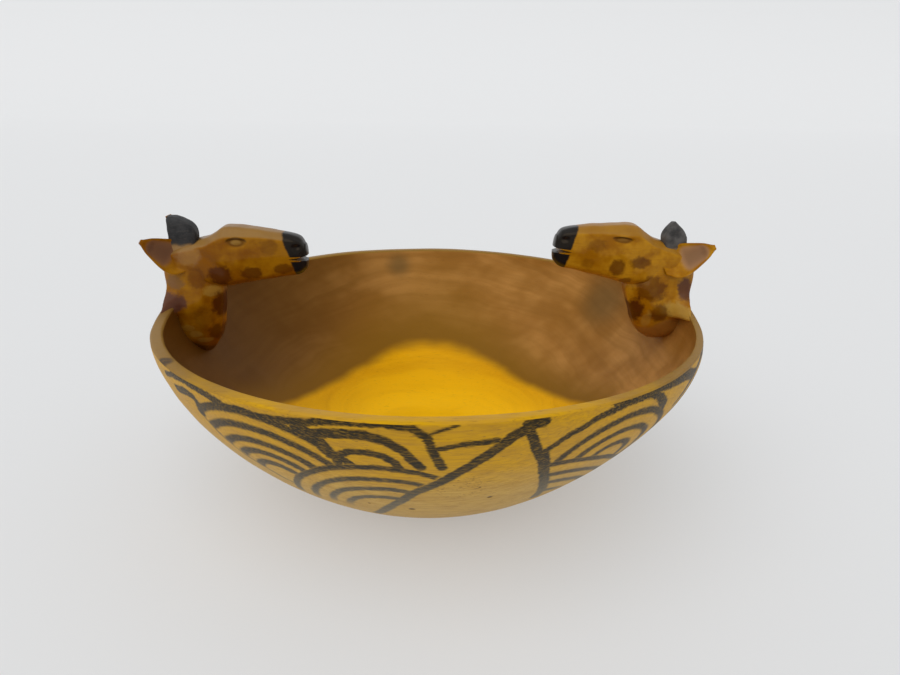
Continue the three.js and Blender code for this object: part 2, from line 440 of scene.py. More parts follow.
OUTSIDE = wall_curve(0, BASE_RADIUS, RIM_RADIUS, flat_reach=26.4, rim_reach=18.7)
INSIDE = wall_curve(FLOOR_HEIGHT, FLOOR_RADIUS, RIM_RADIUS - WALL, flat_reach=26.5, rim_reach=15.5)


def on_outside(azimuth, depth):
    """The point of the outside at an azimuth in degrees and a depth down the wall from the rim."""
    down = OUTSIDE[::-1]
    radius, height = (np.interp(depth, distance_along(down), down[:, k]) for k in (0, 1))
    angle = math.radians(azimuth)
    point = np.array([[radius * math.cos(angle), radius * math.sin(angle), height]])
    return Vector(out_of_round(point)[0])


def quarter_round(centre, start):
    """A quarter turn of the rim's rounding about a radius, from an angle on."""
    return [
        (centre + RIM_ROUNDING * math.cos(turn), RIM_HEIGHT - RIM_ROUNDING * (1 - math.sin(turn)))
        for turn in np.linspace(start, start + math.pi / 2, 6)
    ]


def bowl_profile():
    """Radius and height from the middle of the underside, up the outside, over the rim and down inside."""
    underside = [(radius, 0.0) for radius in np.linspace(POLE_RADIUS, BASE_RADIUS, 10)[:-1]]
    floor = [(radius, FLOOR_HEIGHT) for radius in np.linspace(FLOOR_RADIUS, POLE_RADIUS, 12)[1:]]
    outside = OUTSIDE[OUTSIDE[:, 1] < RIM_HEIGHT - RIM_ROUNDING]
    inside = INSIDE[INSIDE[:, 1] < RIM_HEIGHT - RIM_ROUNDING][::-1]
    outer_centre = RIM_RADIUS - RIM_ROUNDING
    inner_centre = RIM_RADIUS - WALL + RIM_ROUNDING
    middle = ((outer_centre + inner_centre) / 2, RIM_HEIGHT)
    rim = quarter_round(outer_centre, 0) + [middle] + quarter_round(inner_centre, math.pi / 2)
    return np.array(underside + list(outside) + rim + list(inside) + floor)


def outward_from_axis(points):
    return unit(points * (1, 1, 0))


# The rim rises and draws in over this width where it runs up into a neck.
NECK_SPREAD = 14.0
NECK_RISE = {"left": 3.4, "right": 5.2}
NECK_PINCH = {"left": 1.6, "right": 3.0}
# The wall swells under both giraffes, more on the right, with a belly of its own on the left.
RIGHT_SWELL = 0.9
ENDS_SWELL = 1.2
LEFT_BELLY = 2.0
# The rim dips toward the giraffes, and a little toward the front.
ENDS_DIP = 1.1
FRONT_DIP = 0.25


def by_side(points, values):
    return np.where(points[:, 0] < 0, values["left"], values["right"])


def out_of_round(points):
    """The bowl's own departures from round."""
    azimuth = np.arctan2(points[:, 1], points[:, 0])
    top_share = np.clip(points[:, 2] / RIM_HEIGHT, 0, 1)
    toward_left = np.clip(-np.cos(azimuth), 0, 1)
    swell = RIGHT_SWELL * np.cos(azimuth) + ENDS_SWELL * np.cos(2 * azimuth)
    swell *= np.sin(math.pi * top_share ** 2.5)
    swell += LEFT_BELLY * (np.sin(math.pi * top_share) * toward_left) ** 2
    dip = ENDS_DIP * np.cos(azimuth) ** 2 + FRONT_DIP * np.sin(azimuth)
    outward_share = np.clip(np.abs(points[:, 0]) / 60, 0, 1)
    near_neck = np.exp(-(points[:, 1] / NECK_SPREAD) ** 2) * outward_share * top_share ** 8
    outward = swell - by_side(points, NECK_PINCH) * near_neck
    moved = points + outward_from_axis(points) * outward[:, None]
    moved[:, 2] += by_side(points, NECK_RISE) * near_neck - dip * top_share
    return moved


# How far the hand-cut wall and rim wander, over what width, and a random seed.
WALL_WANDERS = [(0.25, 34, 1), (0.10, 7, 2)]
RIM_WAVE = (0.25, 30, 3)


def hand_carved(points):
    """Out of round, with small wanderings of a surface cut by hand that leave the flat underside flat."""
    top_share = np.clip(points[:, 2] / RIM_HEIGHT, 0, 1)
    wander = sum(reach * smooth_noise(points, width, seed) for reach, width, seed in WALL_WANDERS)
    wander *= np.minimum(1, 4 * top_share)
    reach, width, seed = RIM_WAVE
    rim_wave = reach * smooth_noise(points * (1, 1, 0), width, seed)
    moved = out_of_round(points) + outward_from_axis(points) * wander[:, None]
    moved[:, 2] += rim_wave * top_share ** 3
    return moved


THINNING = 1.9


def thinned(rings, profile):
    """The wall is thinner at the right end of the rim, where its inside stands farther out."""
    rim_rows = np.nonzero(profile[:, 1] > RIM_HEIGHT - RIM_ROUNDING)[0]
    inside_share = np.interp(np.arange(len(profile)), (rim_rows[0], rim_rows[-1]), (0, 1))
    top_share = profile[:, 1] / RIM_HEIGHT
    radius = np.maximum(profile[:, 0], BASE_RADIUS)[:, None]
    toward_right = np.clip(rings[..., 0] / radius, 0, 1) ** 1.5
    shift = THINNING * (inside_share * top_share ** 5)[:, None] * toward_right
    moved = rings.copy()
    moved[..., :2] *= (1 + shift / radius)[..., None]
    return moved


def make_bowl(outside_material, rim_material, inside_material):
    profile = bowl_profile()
    angles = np.linspace(0, 2 * math.pi, AROUND, endpoint=False)
    rings = np.stack([
        profile[:, None, 0] * np.cos(angles),
        profile[:, None, 0] * np.sin(angles),
        profile[:, None, 1] * np.ones(AROUND),
    ], axis=-1)
    vertices, faces = closed_loft(thinned(rings, profile))
    piece = add_piece("bowl_body", hand_carved(vertices), faces, outside_material, "bowl")
    mesh = piece.data
    for material in (rim_material, inside_material):
        mesh.materials.append(material)
    rim_rows = np.nonzero(profile[:, 1] > RIM_HEIGHT - RIM_ROUNDING * 0.7)[0]
    row_of = np.repeat(np.arange(len(profile)), AROUND)
    row_of = np.concatenate([row_of, [0, len(profile) - 1]])
    for polygon in mesh.polygons:
        row = np.mean([row_of[v] for v in polygon.vertices])
        polygon.material_index = int(row > rim_rows[0]) + int(row > rim_rows[-1])


# ---------------- bowl materials

GOLD = (0.61, 0.325, 0.007)
TAN = (0.57, 0.36, 0.085)
FIBRE_BROWN = (0.37, 0.185, 0.02)
BAND_BROWN = (0.38, 0.21, 0.05)
MOTTLE_BROWN = (0.30, 0.15, 0.025)
PORE_BROWN = (0.18, 0.09, 0.025)
SPECKLE_BROWN = (0.14, 0.06, 0.015)
PIT_BROWN = (0.07, 0.035, 0.012)
INK = (0.009, 0.012, 0.012)
# Ink low on the wall: partly faded ink, partly a lighter grey of painted sheen.
FADED_INK_AND_SHEEN = (0.112, 0.106, 0.080)

RIM_GOLD = (0.52, 0.28, 0.03)
HANDLED_BROWN = (0.225, 0.125, 0.032)
NECK_STAIN = (0.13, 0.062, 0.012)
KNOT_BROWN = (0.035, 0.025, 0.02)
RIM_FIBRE_BROWN = (0.30, 0.15, 0.03)
RIM_PORE_BROWN = (0.10, 0.05, 0.02)

BROWN = (0.30, 0.132, 0.025)
PALE_BROWN = (0.46, 0.225, 0.058)
OLIVE_BROWN = (0.215, 0.100, 0.009)
# The inside's brown in painted shade, for its left wall and the foot of the left neck.
SHADED_BROWN = (0.085, 0.032, 0.004)
INSIDE_BAND_BROWN = (0.21, 0.090, 0.014)
INSIDE_PORE_BROWN = (0.12, 0.055, 0.01)
SMUDGE_BROWN = (0.10, 0.065, 0.025)
# The yellow floor's lightest colour, in its middle, is a painted highlight.
HIGHLIT_YELLOW = (0.98, 0.53, 0.002)
DEEP_YELLOW = (0.66, 0.31, 0.001)
PALE_YELLOW = (0.85, 0.50, 0.02)


# How far the pen wanders over a few centimetres, and how far the ink's edge frays along the grain.
PEN_WANDER = 1.6
PEN_FRAY = 1.3


def drawing(place):
    """1 on ink and 0 on bare wood. The back has the front's drawing, turned half a turn."""
    x, y, z = place.parts()
    turn = 1.0 - y.step(-0.001, 0.001) * 2.0
    front = place.node("ShaderNodeCombineXYZ", x * turn, y * turn, z)
    wandering = shaking(place.stretched(0.06, 0.06), PEN_WANDER)
    fraying = shaking(place.stretched(0.45, 1.8), PEN_FRAY)
    hand = front.vector_math("ADD", wandering).vector_math("ADD", fraying)

    ink = 0.0
    for fan in FANS:
        centre = on_outside(fan.azimuth, fan.depth)
        distance = stretched_distance(hand, centre, fan)
        reach = fan.cover or max(fan.radii) + FAN_MARGIN
        covered = distance.step(reach + FAN_BLUR, reach - FAN_BLUR)
        if fan.edge:
            covered = covered * beside(hand, fan.edge, fan.side)
        ink = (1.0 - covered) * ink + fan_arcs(distance, fan) * covered
    triangle = beside(hand, LONG_DIAGONAL, "right") * beside(hand, SHORT_DIAGONAL, "left")
    ink = ink * (1.0 - triangle) * hand.parts()[2].step(*FANS_FADE_HEIGHTS)
    for stroke in STROKES:
        ink = ink.larger(stroke_ink(hand, stroke))
    return ink


def shaking(place, reach):
    """A small random shift, up to about half of reach either way."""
    unsteady = place.noise(2.0, 0.5, out=1).offset_from((0.5, 0.5, 0.5))
    return unsteady.vector_math("SCALE", None, None, reach)


def stretched_distance(place, centre, fan):
    """Distance to a fan's centre, in which going round the bowl counts less than going down it."""
    offset = place.offset_from(centre)
    squared = offset.dot(offset)
    if fan.stretch != 1.0:
        angle = math.radians(fan.azimuth)
        round_the_bowl = offset.dot((-math.sin(angle), math.cos(angle), 0))
        squared = squared - round_the_bowl * round_the_bowl * (1 - 1 / fan.stretch ** 2)
    return squared.math("SQRT")


def fan_arcs(distance, fan):
    reach = max(fan.radii) + fan.width
    soft = INK_BLUR / reach
    stops = [(0.0, 0)]
    for radius in sorted(fan.radii):
        low = (radius - fan.width / 2) / reach
        high = (radius + fan.width / 2) / reach
        stops += [(low - soft, 0), (low + soft, 1), (high - soft, 1), (high + soft, 0)]
    colour = (distance / reach).ramp([(stop, (ink, ink, ink)) for stop, ink in stops])
    return colour.node("ShaderNodeRGBToBW", colour)


def beside(place, stroke, side):
    """1 on one side of a stroke, as seen from outside the bowl, taking the stroke as a flat cut."""
    start = on_outside(*stroke.places[0])
    end = on_outside(*stroke.places[-1])
    middle = on_outside(*stroke.places[len(stroke.places) // 2])
    across = (middle - start).cross(end - start).normalized()
    place_to_the_left = on_outside(stroke.places[1][0] - 20, stroke.places[1][1])
    points_left = (place_to_the_left - start).dot(across) > 0
    if points_left != (side == "left"):
        across.negate()
    return place.offset_from(start).dot(tuple(across)).step(0.0, 0.8)


def stroke_ink(place, stroke):
    ink = 0.0
    spans = list(zip(stroke.places, stroke.places[1:]))
    for i, (start, end) in enumerate(spans):
        first = on_outside(*start)
        along = on_outside(*end) - first
        width = stroke.width + (stroke.end_width - stroke.width) * (i + 0.5) / len(spans)
        offset = place.offset_from(first)
        share = offset.dot(tuple(along / along.length_squared)).larger(0.0).smaller(1.0)
        nearest = share.node("ShaderNodeVectorMath", tuple(along), None, None, share, operation="SCALE")
        distance = offset.vector_math("DISTANCE", nearest, out=1)
        ink = distance.step(width / 2 + INK_BLUR, width / 2 - INK_BLUR).larger(ink)
    return ink


# Small pits in the outside, each an azimuth in degrees, a depth down the wall and a radius in millimetres,
# and a patch of fine speckles, given the same way.
PITS = [(-93.9, 47.0, 1.3), (-77.3, 38.0, 1.0), (-80.5, 29.0, 0.5), (-103.5, 44.0, 0.6)]
SPECKLED_PATCH = (-84.0, 29.0, 11.0)


def outside_wood():
    made = Material("outside_wood", GOLD)
    place = made.place
    _, _, z = place.parts()
    fibres = wood_fibres(place)
    pores = wood_pores(place)
    blotches = place.stretched(0.03, 0.05).noise(3.0, 0.55)
    mottling = place.stretched(0.10, 0.22, (9, 4, 6)).noise(4.0, 0.65).step(0.45, 0.75)
    azimuth, depth, reach = SPECKLED_PATCH
    speckled = place.distance_to(on_outside(azimuth, depth)).step(reach, reach * 0.3)
    speckles = place.stretched(0.9, 1.6, (2, 5, 9)).noise(2.0, 0.6).step(0.58, 0.68)
    gold_share = (z + blotches * 24.0).step(41.0, 61.0)
    wood = layered(
        gold_share.mixed(TAN, GOLD),
        (fibres.step(0.38, 0.68) * 0.5, FIBRE_BROWN),
        (growth_bands(place) * 0.3, BAND_BROWN),
        (mottling * 0.35, MOTTLE_BROWN),
        (pores * 0.5, PORE_BROWN),
        (speckles * speckled * 0.7, SPECKLE_BROWN),
    )
    streaks = place.stretched(0.32, 2.4, (3, 8, 5)).noise(3.0, 0.65)
    inked = drawing(place) * (streaks.step(0.32, 0.56) * 0.30 + 0.68)
    # Low on the wall the ink turns a lighter grey: partly faded, partly a painted sheen of grazing light.
    low = z.step(50.0, 22.0)
    pits = 0.0
    for azimuth, depth, radius in PITS:
        pits = place.distance_to(on_outside(azimuth, depth)).step(radius, radius * 0.4) + pits
    colour = layered(wood, (inked, low.mixed(INK, FADED_INK_AND_SHEEN)), (pits * 0.8, PIT_BROWN))
    height = fibres * 0.05 - pores * 0.05 - pits * 0.5
    return made.finish(colour, 0.42 + fibres * 0.12, height, 0.6)


def growth_bands(place):
    """Uneven dark and light bands that follow the growth rings, between 0 and 1."""
    x, y, _ = place.parts()
    drift = place.stretched(0.02, 0.03, (2, 6, 4)).noise(2.0, 0.5) * 14.0
    rings = ring_height(place) + drift
    across = place.node("ShaderNodeCombineXYZ", rings * 0.32, x * 0.015, y * 0.015)
    return across.noise(3.0, 0.55).step(0.32, 0.72)


# A dark knot in the rim, as an azimuth and a depth, and the left neck, whose stain runs onto the rim.
RIM_KNOT = (-144.0, 0.4)
LEFT_NECK = (-93, 0, RIM_HEIGHT + 4)


def rim_wood():
    """Golden in front, and browner where it is handled, at both ends and at the back."""
    made = Material("rim_wood", GOLD)
    place = made.place
    x, y, _ = place.parts()
    fibres = wood_fibres(place)
    pores = wood_pores(place)
    blotches = place.stretched(0.05, 0.05).noise(3.0, 0.6)
    handled = (abs(x) + blotches * 30.0).step(46.0, 90.0).larger(y.step(5.0, 60.0))
    wood = layered(
        blotches.step(0.35, 0.7).mixed(GOLD, RIM_GOLD),
        (handled * 0.88, HANDLED_BROWN),
        (place.distance_to(LEFT_NECK).step(24.0, 8.0) * 0.75, NECK_STAIN),
        (place.distance_to(on_outside(*RIM_KNOT)).step(4.2, 2.2) * 0.85, KNOT_BROWN),
        (fibres.step(0.45, 0.8) * 0.5, RIM_FIBRE_BROWN),
        (pores * 0.35, RIM_PORE_BROWN),
    )
    return made.finish(wood, 0.4 + fibres * 0.12, fibres * 0.06 - pores * 0.06, 0.6)


# The middle of the inside is yellow up to a ring that reaches this far along Y, less far with X squared.
YELLOW_REACH = 65.0
YELLOW_BEND = 64.0
# Two dark smudges on the inside, each a place and the distances at which it ends and is full.
SMUDGES = [((-16, 89, 56), 9.0, 2.0), ((75, 45, 53), 17.0, 3.0)]


def inside_wood():
    made = Material("inside_wood", GOLD, coat=0.05, coat_roughness=0.22)
    place = made.place
    x, y, _ = place.parts()
    fibres = wood_fibres(place)
    pores = wood_pores(place)
    bands = growth_bands(place)
    blotches = place.stretched(0.025, 0.04, (5, 1, 2)).noise(3.0, 0.6)
    brown = layered(
        blotches.step(0.35, 0.65).mixed(BROWN, PALE_BROWN),
        (bands * 0.42, INSIDE_BAND_BROWN),
        # Painted shade: the inside darkens toward its left wall, which faces away from the light.
        (x.step(0.0, -78.0) * 0.85, SHADED_BROWN),
    )
    ring = abs(y) + x * x / YELLOW_BEND + (blotches - 0.5) * 7.0
    toward_edge = ring.step(YELLOW_REACH - 31.0, YELLOW_REACH - 1.0)
    # The yellow is lightest in the middle, a painted highlight, and deeper toward its edge, with growth
    # bands through it.
    yellow = layered(
        (bands * 0.3 + toward_edge * 0.7).mixed(HIGHLIT_YELLOW, DEEP_YELLOW),
        (fibres.step(0.4, 0.8) * 0.25, PALE_YELLOW),
    )
    past_edge = ring.step(YELLOW_REACH - 5.0, YELLOW_REACH + 2.5)
    around_yellow = ring.step(YELLOW_REACH, YELLOW_REACH + 30.0).mixed(OLIVE_BROWN, brown)
    smudged, other = [place.distance_to(middle).step(end, full) for middle, end, full in SMUDGES]
    wood = layered(
        past_edge.mixed(yellow, around_yellow),
        (smudged.larger(other) * 0.62, SMUDGE_BROWN),
        (pores * 0.2, INSIDE_PORE_BROWN),
    )
    height = fibres * 0.04 - pores * 0.04 + bands * 0.02
    return made.finish(wood, 0.36 + fibres * 0.14, height, 0.5)


# ---------------- giraffes

# A giraffe is shaped in a frame of its own, in millimetres: X outward from the bowl's axis, Z up from the
# rim plane. The two were cut by eye, so the right one holds its head a little higher.
Pose = namedtuple("Pose", "lift tilt")
POSES = {"left": Pose(0.0, 0.0), "right": Pose(0.8, 4.3)}
POLL = np.array([86.0, 0.0, 16.0])


def posed(points, pose):
    """Head points turned about the poll and lifted."""
    tilt = math.radians(pose.tilt)
    x = points[..., 0] - POLL[0]
    z = points[..., 2] - POLL[2]
    turned = points.copy()
    turned[..., 0] = POLL[0] + x * math.cos(tilt) + z * math.sin(tilt)
    turned[..., 2] = POLL[2] - x * math.sin(tilt) + z * math.cos(tilt) + pose.lift
    return turned


def to_bowl(points, side):
    """From the giraffe's frame to the bowl's: the left one is turned half a turn about the bowl's axis."""
    placed = points * (side, side, 1)
    placed[..., 2] += RIM_HEIGHT
    return placed


def interpolated(stations, count):
    """Rows on a smooth curve through stations, from the first to the last."""
    table = np.array(stations, float)
    places = np.linspace(0, len(table) - 1, count)
    rows = []
    for place in places:
        i = min(int(place), len(table) - 2)
        t = place - i
        before = table[max(i - 1, 0)]
        after = table[min(i + 2, len(table) - 1)]
        start_slope = (table[i + 1] - before) / 2
        end_slope = (after - table[i]) / 2
        rows.append(
            (2 * t ** 3 - 3 * t ** 2 + 1) * table[i] + (t ** 3 - 2 * t ** 2 + t) * start_slope
            + (3 * t ** 2 - 2 * t ** 3) * table[i + 1] + (t ** 3 - t ** 2) * end_slope
        )
    return np.array(rows)


def rounded_outline(half_outline, count, rounding):
    """An evenly spaced closed outline with rounded corners from its half, which runs from axis to axis."""
    half = np.array(half_outline, float)
    mirrored = (half * (-1, 1))[::-1][1:-1]
    corners = np.concatenate([half, mirrored, half[:1]])
    travelled = distance_along(corners)
    places = np.linspace(0, travelled[-1], count, endpoint=False)
    outline = np.stack([np.interp(places, travelled, corners[:, k]) for k in (0, 1)], axis=-1)
    reach = max(1, int(rounding / (travelled[-1] / count)))
    weights = np.hanning(2 * reach + 3)[1:-1]
    weights /= weights.sum()
    blurred = np.zeros_like(outline)
    for offset, weight in zip(range(-reach, reach + 1), weights):
        blurred += weight * np.roll(outline, offset, axis=0)
    return blurred


# Head: x, top, half width of the flat top, height and half width of the brow edge, height and half width of
# the jaw edge, bottom, half width of the flat bottom.
HEAD_STATIONS = [
    (44.3, 22.6, 1.6, 21.2, 2.9, 14.2, 2.8, 13.0, 1.4),
    (45.6, 24.5, 2.0, 22.8, 4.1, 13.2, 3.8, 11.8, 2.0),
    (48.0, 25.6, 2.3, 23.8, 4.8, 12.6, 4.3, 11.1, 2.4),
    (52.0, 26.4, 2.6, 24.4, 5.2, 12.1, 4.6, 10.6, 2.6),
    (58.0, 27.3, 2.9, 25.0, 5.6, 11.2, 5.0, 9.6, 2.8),
    (64.0, 28.1, 3.1, 25.4, 6.3, 10.3, 5.6, 8.6, 3.0),
    (68.5, 28.5, 3.2, 25.5, 6.8, 9.7, 6.1, 7.8, 3.2),
    (72.0, 28.2, 3.3, 25.2, 7.0, 9.2, 6.4, 7.2, 3.4),
    (75.0, 26.3, 3.5, 23.9, 7.1, 9.2, 6.4, 7.0, 3.6),
    (78.0, 24.6, 3.9, 22.2, 7.0, 9.4, 6.3, 7.2, 3.6),
    (82.0, 23.4, 4.3, 21.0, 6.8, 9.8, 6.0, 7.6, 3.6),
    (86.0, 22.2, 4.4, 20.0, 6.6, 10.4, 5.8, 8.4, 3.4),
    (91.0, 20.0, 3.6, 18.4, 5.8, 11.6, 4.8, 9.8, 3.0),
    (93.5, 17.6, 2.2, 16.8, 3.4, 13.6, 3.0, 12.4, 2.0),
]
HEAD_RINGS = 150
HEAD_SIDES = 112
NOSE_RINGS = 7
NOSE_BULGE = 0.9
CHEEK_FULLNESS = 0.35
HEAD_ROUNDING = 1.3


def head_rings():
    rings = []
    for station in interpolated(HEAD_STATIONS, HEAD_RINGS):
        x, top, top_half, brow, brow_half, jaw, jaw_half, bottom, bottom_half = station
        cheek = (brow + jaw) / 2
        cheek_half = (brow_half + jaw_half) / 2 + CHEEK_FULLNESS
        half = [
            (0, top), (top_half, top - 0.15), (brow_half, brow), (cheek_half, cheek),
            (jaw_half, jaw), (bottom_half, bottom), (0, bottom - 0.1),
        ]
        outline = rounded_outline(half, HEAD_SIDES, HEAD_ROUNDING)
        rings.append(np.column_stack([np.full(HEAD_SIDES, x), outline]))
    front = rings[0]
    centre = front.mean(0)
    nose = []
    for share in np.linspace(0, 1, NOSE_RINGS + 1)[1:][::-1]:
        ring = centre + (front - centre) * (math.cos(share * math.pi / 2) * 0.97 + 0.03)
        ring[:, 0] = front[0, 0] - NOSE_BULGE * math.sin(share * math.pi / 2)
        nose.append(ring)
    return np.array(nose + rings)


EYE = np.array([66.9, 0.0, 23.5])
EYE_HALF_LENGTH = 2.8
EYE_HALF_HEIGHTS = {"left": 1.4, "right": 0.95}
NOSTRIL = np.array([46.6, 0.0, 21.6])
SOCKET_DEPTH = 0.7
EYE_BULGE = 0.55
LID_HEIGHT = 0.3
NOSTRIL_DEPTH = 0.7
CHEEK_CUT = np.array([77.0, 0.0, 17.5])
CHEEK_CUT_SLOPE = 0.8
CHEEK_CUT_DEPTH = 0.5
CHEEK_CUT_HALF_WIDTH = 2.0
CHEEK_CUT_HALF_LENGTH = 4.5


def carve_face(rings, eye_half_height):
    """Sinks the eye sockets and nostrils, raises the eyes and lids, and cuts the cheek behind the eye."""
    carved = rings.copy()
    x, y, z = (rings[..., k] for k in range(3))
    side = np.sign(y) * np.clip(np.abs(y) / 2.5 - 0.6, 0, 1)
    dx = (x - EYE[0]) / EYE_HALF_LENGTH
    dz = (z - EYE[2]) / eye_half_height
    from_eye = np.sqrt(dx ** 2 + dz ** 2)
    socket = SOCKET_DEPTH * np.exp(-np.maximum(from_eye - 0.4, 0) ** 2 * 1.6)
    ball = EYE_BULGE * np.clip(1 - from_eye ** 2 / 0.8, 0, 1)
    lid = LID_HEIGHT * np.exp(-((dz - 1.15) * 2.4) ** 2 - (dx * 0.9) ** 4)
    along_cut = x - CHEEK_CUT[0]
    above_cut = (z - CHEEK_CUT[2] - CHEEK_CUT_SLOPE * along_cut) / CHEEK_CUT_HALF_WIDTH
    cheek = CHEEK_CUT_DEPTH * np.exp(-above_cut ** 2 - (along_cut / CHEEK_CUT_HALF_LENGTH) ** 4)
    nostril = NOSTRIL_DEPTH * np.exp(-((x - NOSTRIL[0]) / 1.1) ** 2 - ((z - NOSTRIL[2]) / 0.8) ** 2)
    carved[..., 1] += side * (ball + lid - socket - cheek - nostril)
    return carved


MOUTH_HEIGHT = 17.3
MOUTH_DEPTH = 5.6
MOUTH_OPENING = 1.7
MOUTH_CUT_AHEAD = 3.0
MOUTH_CUT_HALF_WIDTH = 8.0


def mouth_wedge(pose, side):
    """The knife cut of the mouth, open at the tip of the muzzle."""
    tip = HEAD_STATIONS[0][0] + MOUTH_DEPTH
    front = HEAD_STATIONS[0][0] - MOUTH_CUT_AHEAD
    slope = MOUTH_OPENING / 2 / MOUTH_DEPTH * (tip - front)
    outline = [(front, MOUTH_HEIGHT - slope), (tip, MOUTH_HEIGHT), (front, MOUTH_HEIGHT + slope)]
    sides = (-MOUTH_CUT_HALF_WIDTH, MOUTH_CUT_HALF_WIDTH)
    points = np.array([(x, y, z) for y in sides for x, z in outline])
    faces = [(0, 1, 2), (5, 4, 3), (0, 3, 4, 1), (1, 4, 5, 2), (2, 5, 3, 0)]
    return add_object("mouth", new_mesh("mouth", to_bowl(posed(points, pose), side), faces))


def cut(piece, cutter):
    modifier = piece.modifiers.new("cut", "BOOLEAN")
    modifier.operation = "DIFFERENCE"
    modifier.solver = "EXACT"
    modifier.object = cutter
    evaluated = piece.evaluated_get(bpy.context.evaluated_depsgraph_get())
    mesh = bpy.data.meshes.new_from_object(evaluated)
    piece.modifiers.remove(modifier)
    piece.data = mesh
    bpy.data.objects.remove(cutter)


# Neck: z, front, back, half width of the flat front, half width of the sides, half width of the flat back,
# and how far it stands toward the back of the bowl. It flares where it stands over the rim.
NECK_STATIONS = {
    "left": [
        (-19.5, 82.0, 88.0, 1.0, 2.2, 1.6, 4.2),
        (-16.5, 79.4, 90.5, 2.2, 4.8, 3.6, 3.2),
        (-12.5, 77.2, 92.0, 2.8, 6.4, 5.4, 1.8),
        (-8.0, 75.6, 93.0, 3.1, 7.0, 6.2, 0.6),
        (-3.0, 74.9, 93.8, 3.2, 7.2, 6.4, 0.0),
        (-1.0, 74.7, 93.8, 3.2, 7.6, 15.0, 0.0),
        (1.0, 74.5, 93.7, 3.2, 7.7, 13.0, 0.0),
        (3.5, 74.2, 93.4, 3.2, 7.6, 9.5, 0.0),
        (7.0, 73.9, 93.2, 3.2, 7.2, 5.4, 0.0),
        (12.0, 74.2, 93.8, 3.0, 6.6, 4.2, 0.0),
        (17.0, 75.5, 94.2, 2.6, 6.2, 3.6, 0.0),
    ],
    "right": [
        (-13.0, 82.0, 88.0, 1.0, 2.2, 1.6, 3.6),
        (-11.0, 79.2, 90.5, 2.2, 4.6, 3.6, 2.8),
        (-8.6, 76.8, 91.6, 2.8, 6.0, 5.0, 2.0),
        (-5.6, 75.1, 92.2, 3.1, 6.6, 5.4, 1.0),
        (-3.0, 74.2, 92.4, 3.2, 7.0, 6.0, 0.4),
        (-1.0, 73.5, 92.6, 3.2, 7.6, 16.0, 0.0),
        (1.5, 72.6, 92.6, 3.2, 7.8, 14.5, 0.0),
        (4.5, 71.5, 92.8, 3.2, 7.6, 10.5, 0.0),
        (8.0, 70.6, 93.6, 3.2, 7.2, 6.0, 0.0),
        (12.0, 71.5, 94.8, 3.0, 6.6, 4.2, 0.0),
        (17.0, 74.5, 94.6, 2.6, 6.2, 3.6, 0.0),
    ],
}
NECK_RINGS = 90
NECK_SIDES = 96
NECK_ROUNDING = 1.6


def neck_rings(name):
    rings = []
    for z, front, back, front_half, half, back_half, shift in interpolated(NECK_STATIONS[name], NECK_RINGS):
        depth = back - front
        back_corner = back - back_half ** 2 / (2 * RIM_RADIUS)
        outline = rounded_outline([
            (0, front), (front_half, front), (half, front + 0.30 * depth), (half, back - 0.28 * depth),
            (back_half, back_corner), (0, back),
        ], NECK_SIDES, NECK_ROUNDING)
        across = outline[:, 0] + shift * SIDES[name]
        rings.append(np.column_stack([outline[:, 1], across, np.full(NECK_SIDES, z)]))
    return np.array(rings)[:, ::-1]


EAR_ROOTS = {"left": (84.0, 4.7, 15.4), "right": (82.6, 6.0, 16.2)}
EAR_TIPS = {
    "left": {"front": (97.6, 10.6, 24.4), "back": (94.2, 9.0, 29.9)},
    "right": {"front": (98.0, 10.8, 24.6), "back": (94.6, 9.2, 22.2)},
}
EAR_FACING = np.array([-0.30, 0.90, 0.42])
EAR_HALF_WIDTHS = [3.2, 5.4, 6.0, 5.3, 4.1, 2.7, 0.8]
EAR_HOLLOW = 2.6
EAR_LIP = 0.75
EAR_BACK = 1.9
EAR_THICKNESS = 0.35
EAR_RINGS = 60
EAR_SIDES = 56


def ear_rings(root, tip, mirror):
    root = np.array(root)
    along = np.array(tip) - root
    direction = unit(along)
    facing = unit(EAR_FACING - EAR_FACING.dot(direction) * direction)
    across = np.cross(facing, direction)
    widths = interpolated(EAR_HALF_WIDTHS, EAR_RINGS)
    angles = np.linspace(0, 2 * math.pi, EAR_SIDES, endpoint=False)
    sideways = np.cos(angles)
    crown = 1 - sideways ** 2
    edge = EAR_LIP * np.sqrt(crown)
    rings = []
    for share, half in zip(np.linspace(0, 1, EAR_RINGS), widths):
        deepest = EAR_HOLLOW * math.sin(math.pi * min(1, share * 1.05) ** 0.8)
        hollow = deepest * np.clip(crown * 1.3 - 0.18, 0, 1)
        depth = EAR_BACK * (1 - 0.6 * share)
        front = np.maximum(edge - hollow, EAR_THICKNESS - depth * crown ** 0.8)
        back = -(depth + 0.6) * crown ** 0.8 - edge * 0.4
        lift = np.where(np.sin(angles) > 0, front, back)
        rings.append(root + along * share + across * (sideways * half)[:, None] + facing * lift[:, None])
    return mirrored(np.array(rings), mirror)


def mirrored(rings, mirror):
    return (rings * (1, -1, 1))[:, ::-1] if mirror else rings


# Horn: height, place along X, half length, half width. The left giraffe's are cut off aslant, and the right
# one's are pointed.
HORN_STATIONS = {
    "left": [
        (16.5, 86.6, 3.4, 2.2), (20.5, 86.2, 4.2, 2.4), (24.0, 85.5, 4.9, 2.6), (27.0, 85.6, 4.8, 2.7),
        (29.2, 86.5, 4.0, 2.6), (30.8, 87.9, 2.6, 2.2), (31.7, 88.8, 1.5, 1.4),
    ],
    "right": [
        (16.5, 86.8, 2.6, 2.0), (20.5, 86.6, 3.0, 2.2), (23.6, 86.3, 4.0, 2.5), (26.2, 86.0, 4.2, 2.6),
        (28.5, 85.7, 3.2, 2.3), (30.4, 85.4, 1.7, 1.5), (31.5, 85.3, 0.6, 0.5),
    ],
}
HORN_OFFSET = 2.9
FAR_HORN_SHIFT = 1.9
FAR_HORN_DROP = 0.7
HORN_RINGS = 48
HORN_SIDES = 48
HORN_SQUARENESS = 5.0


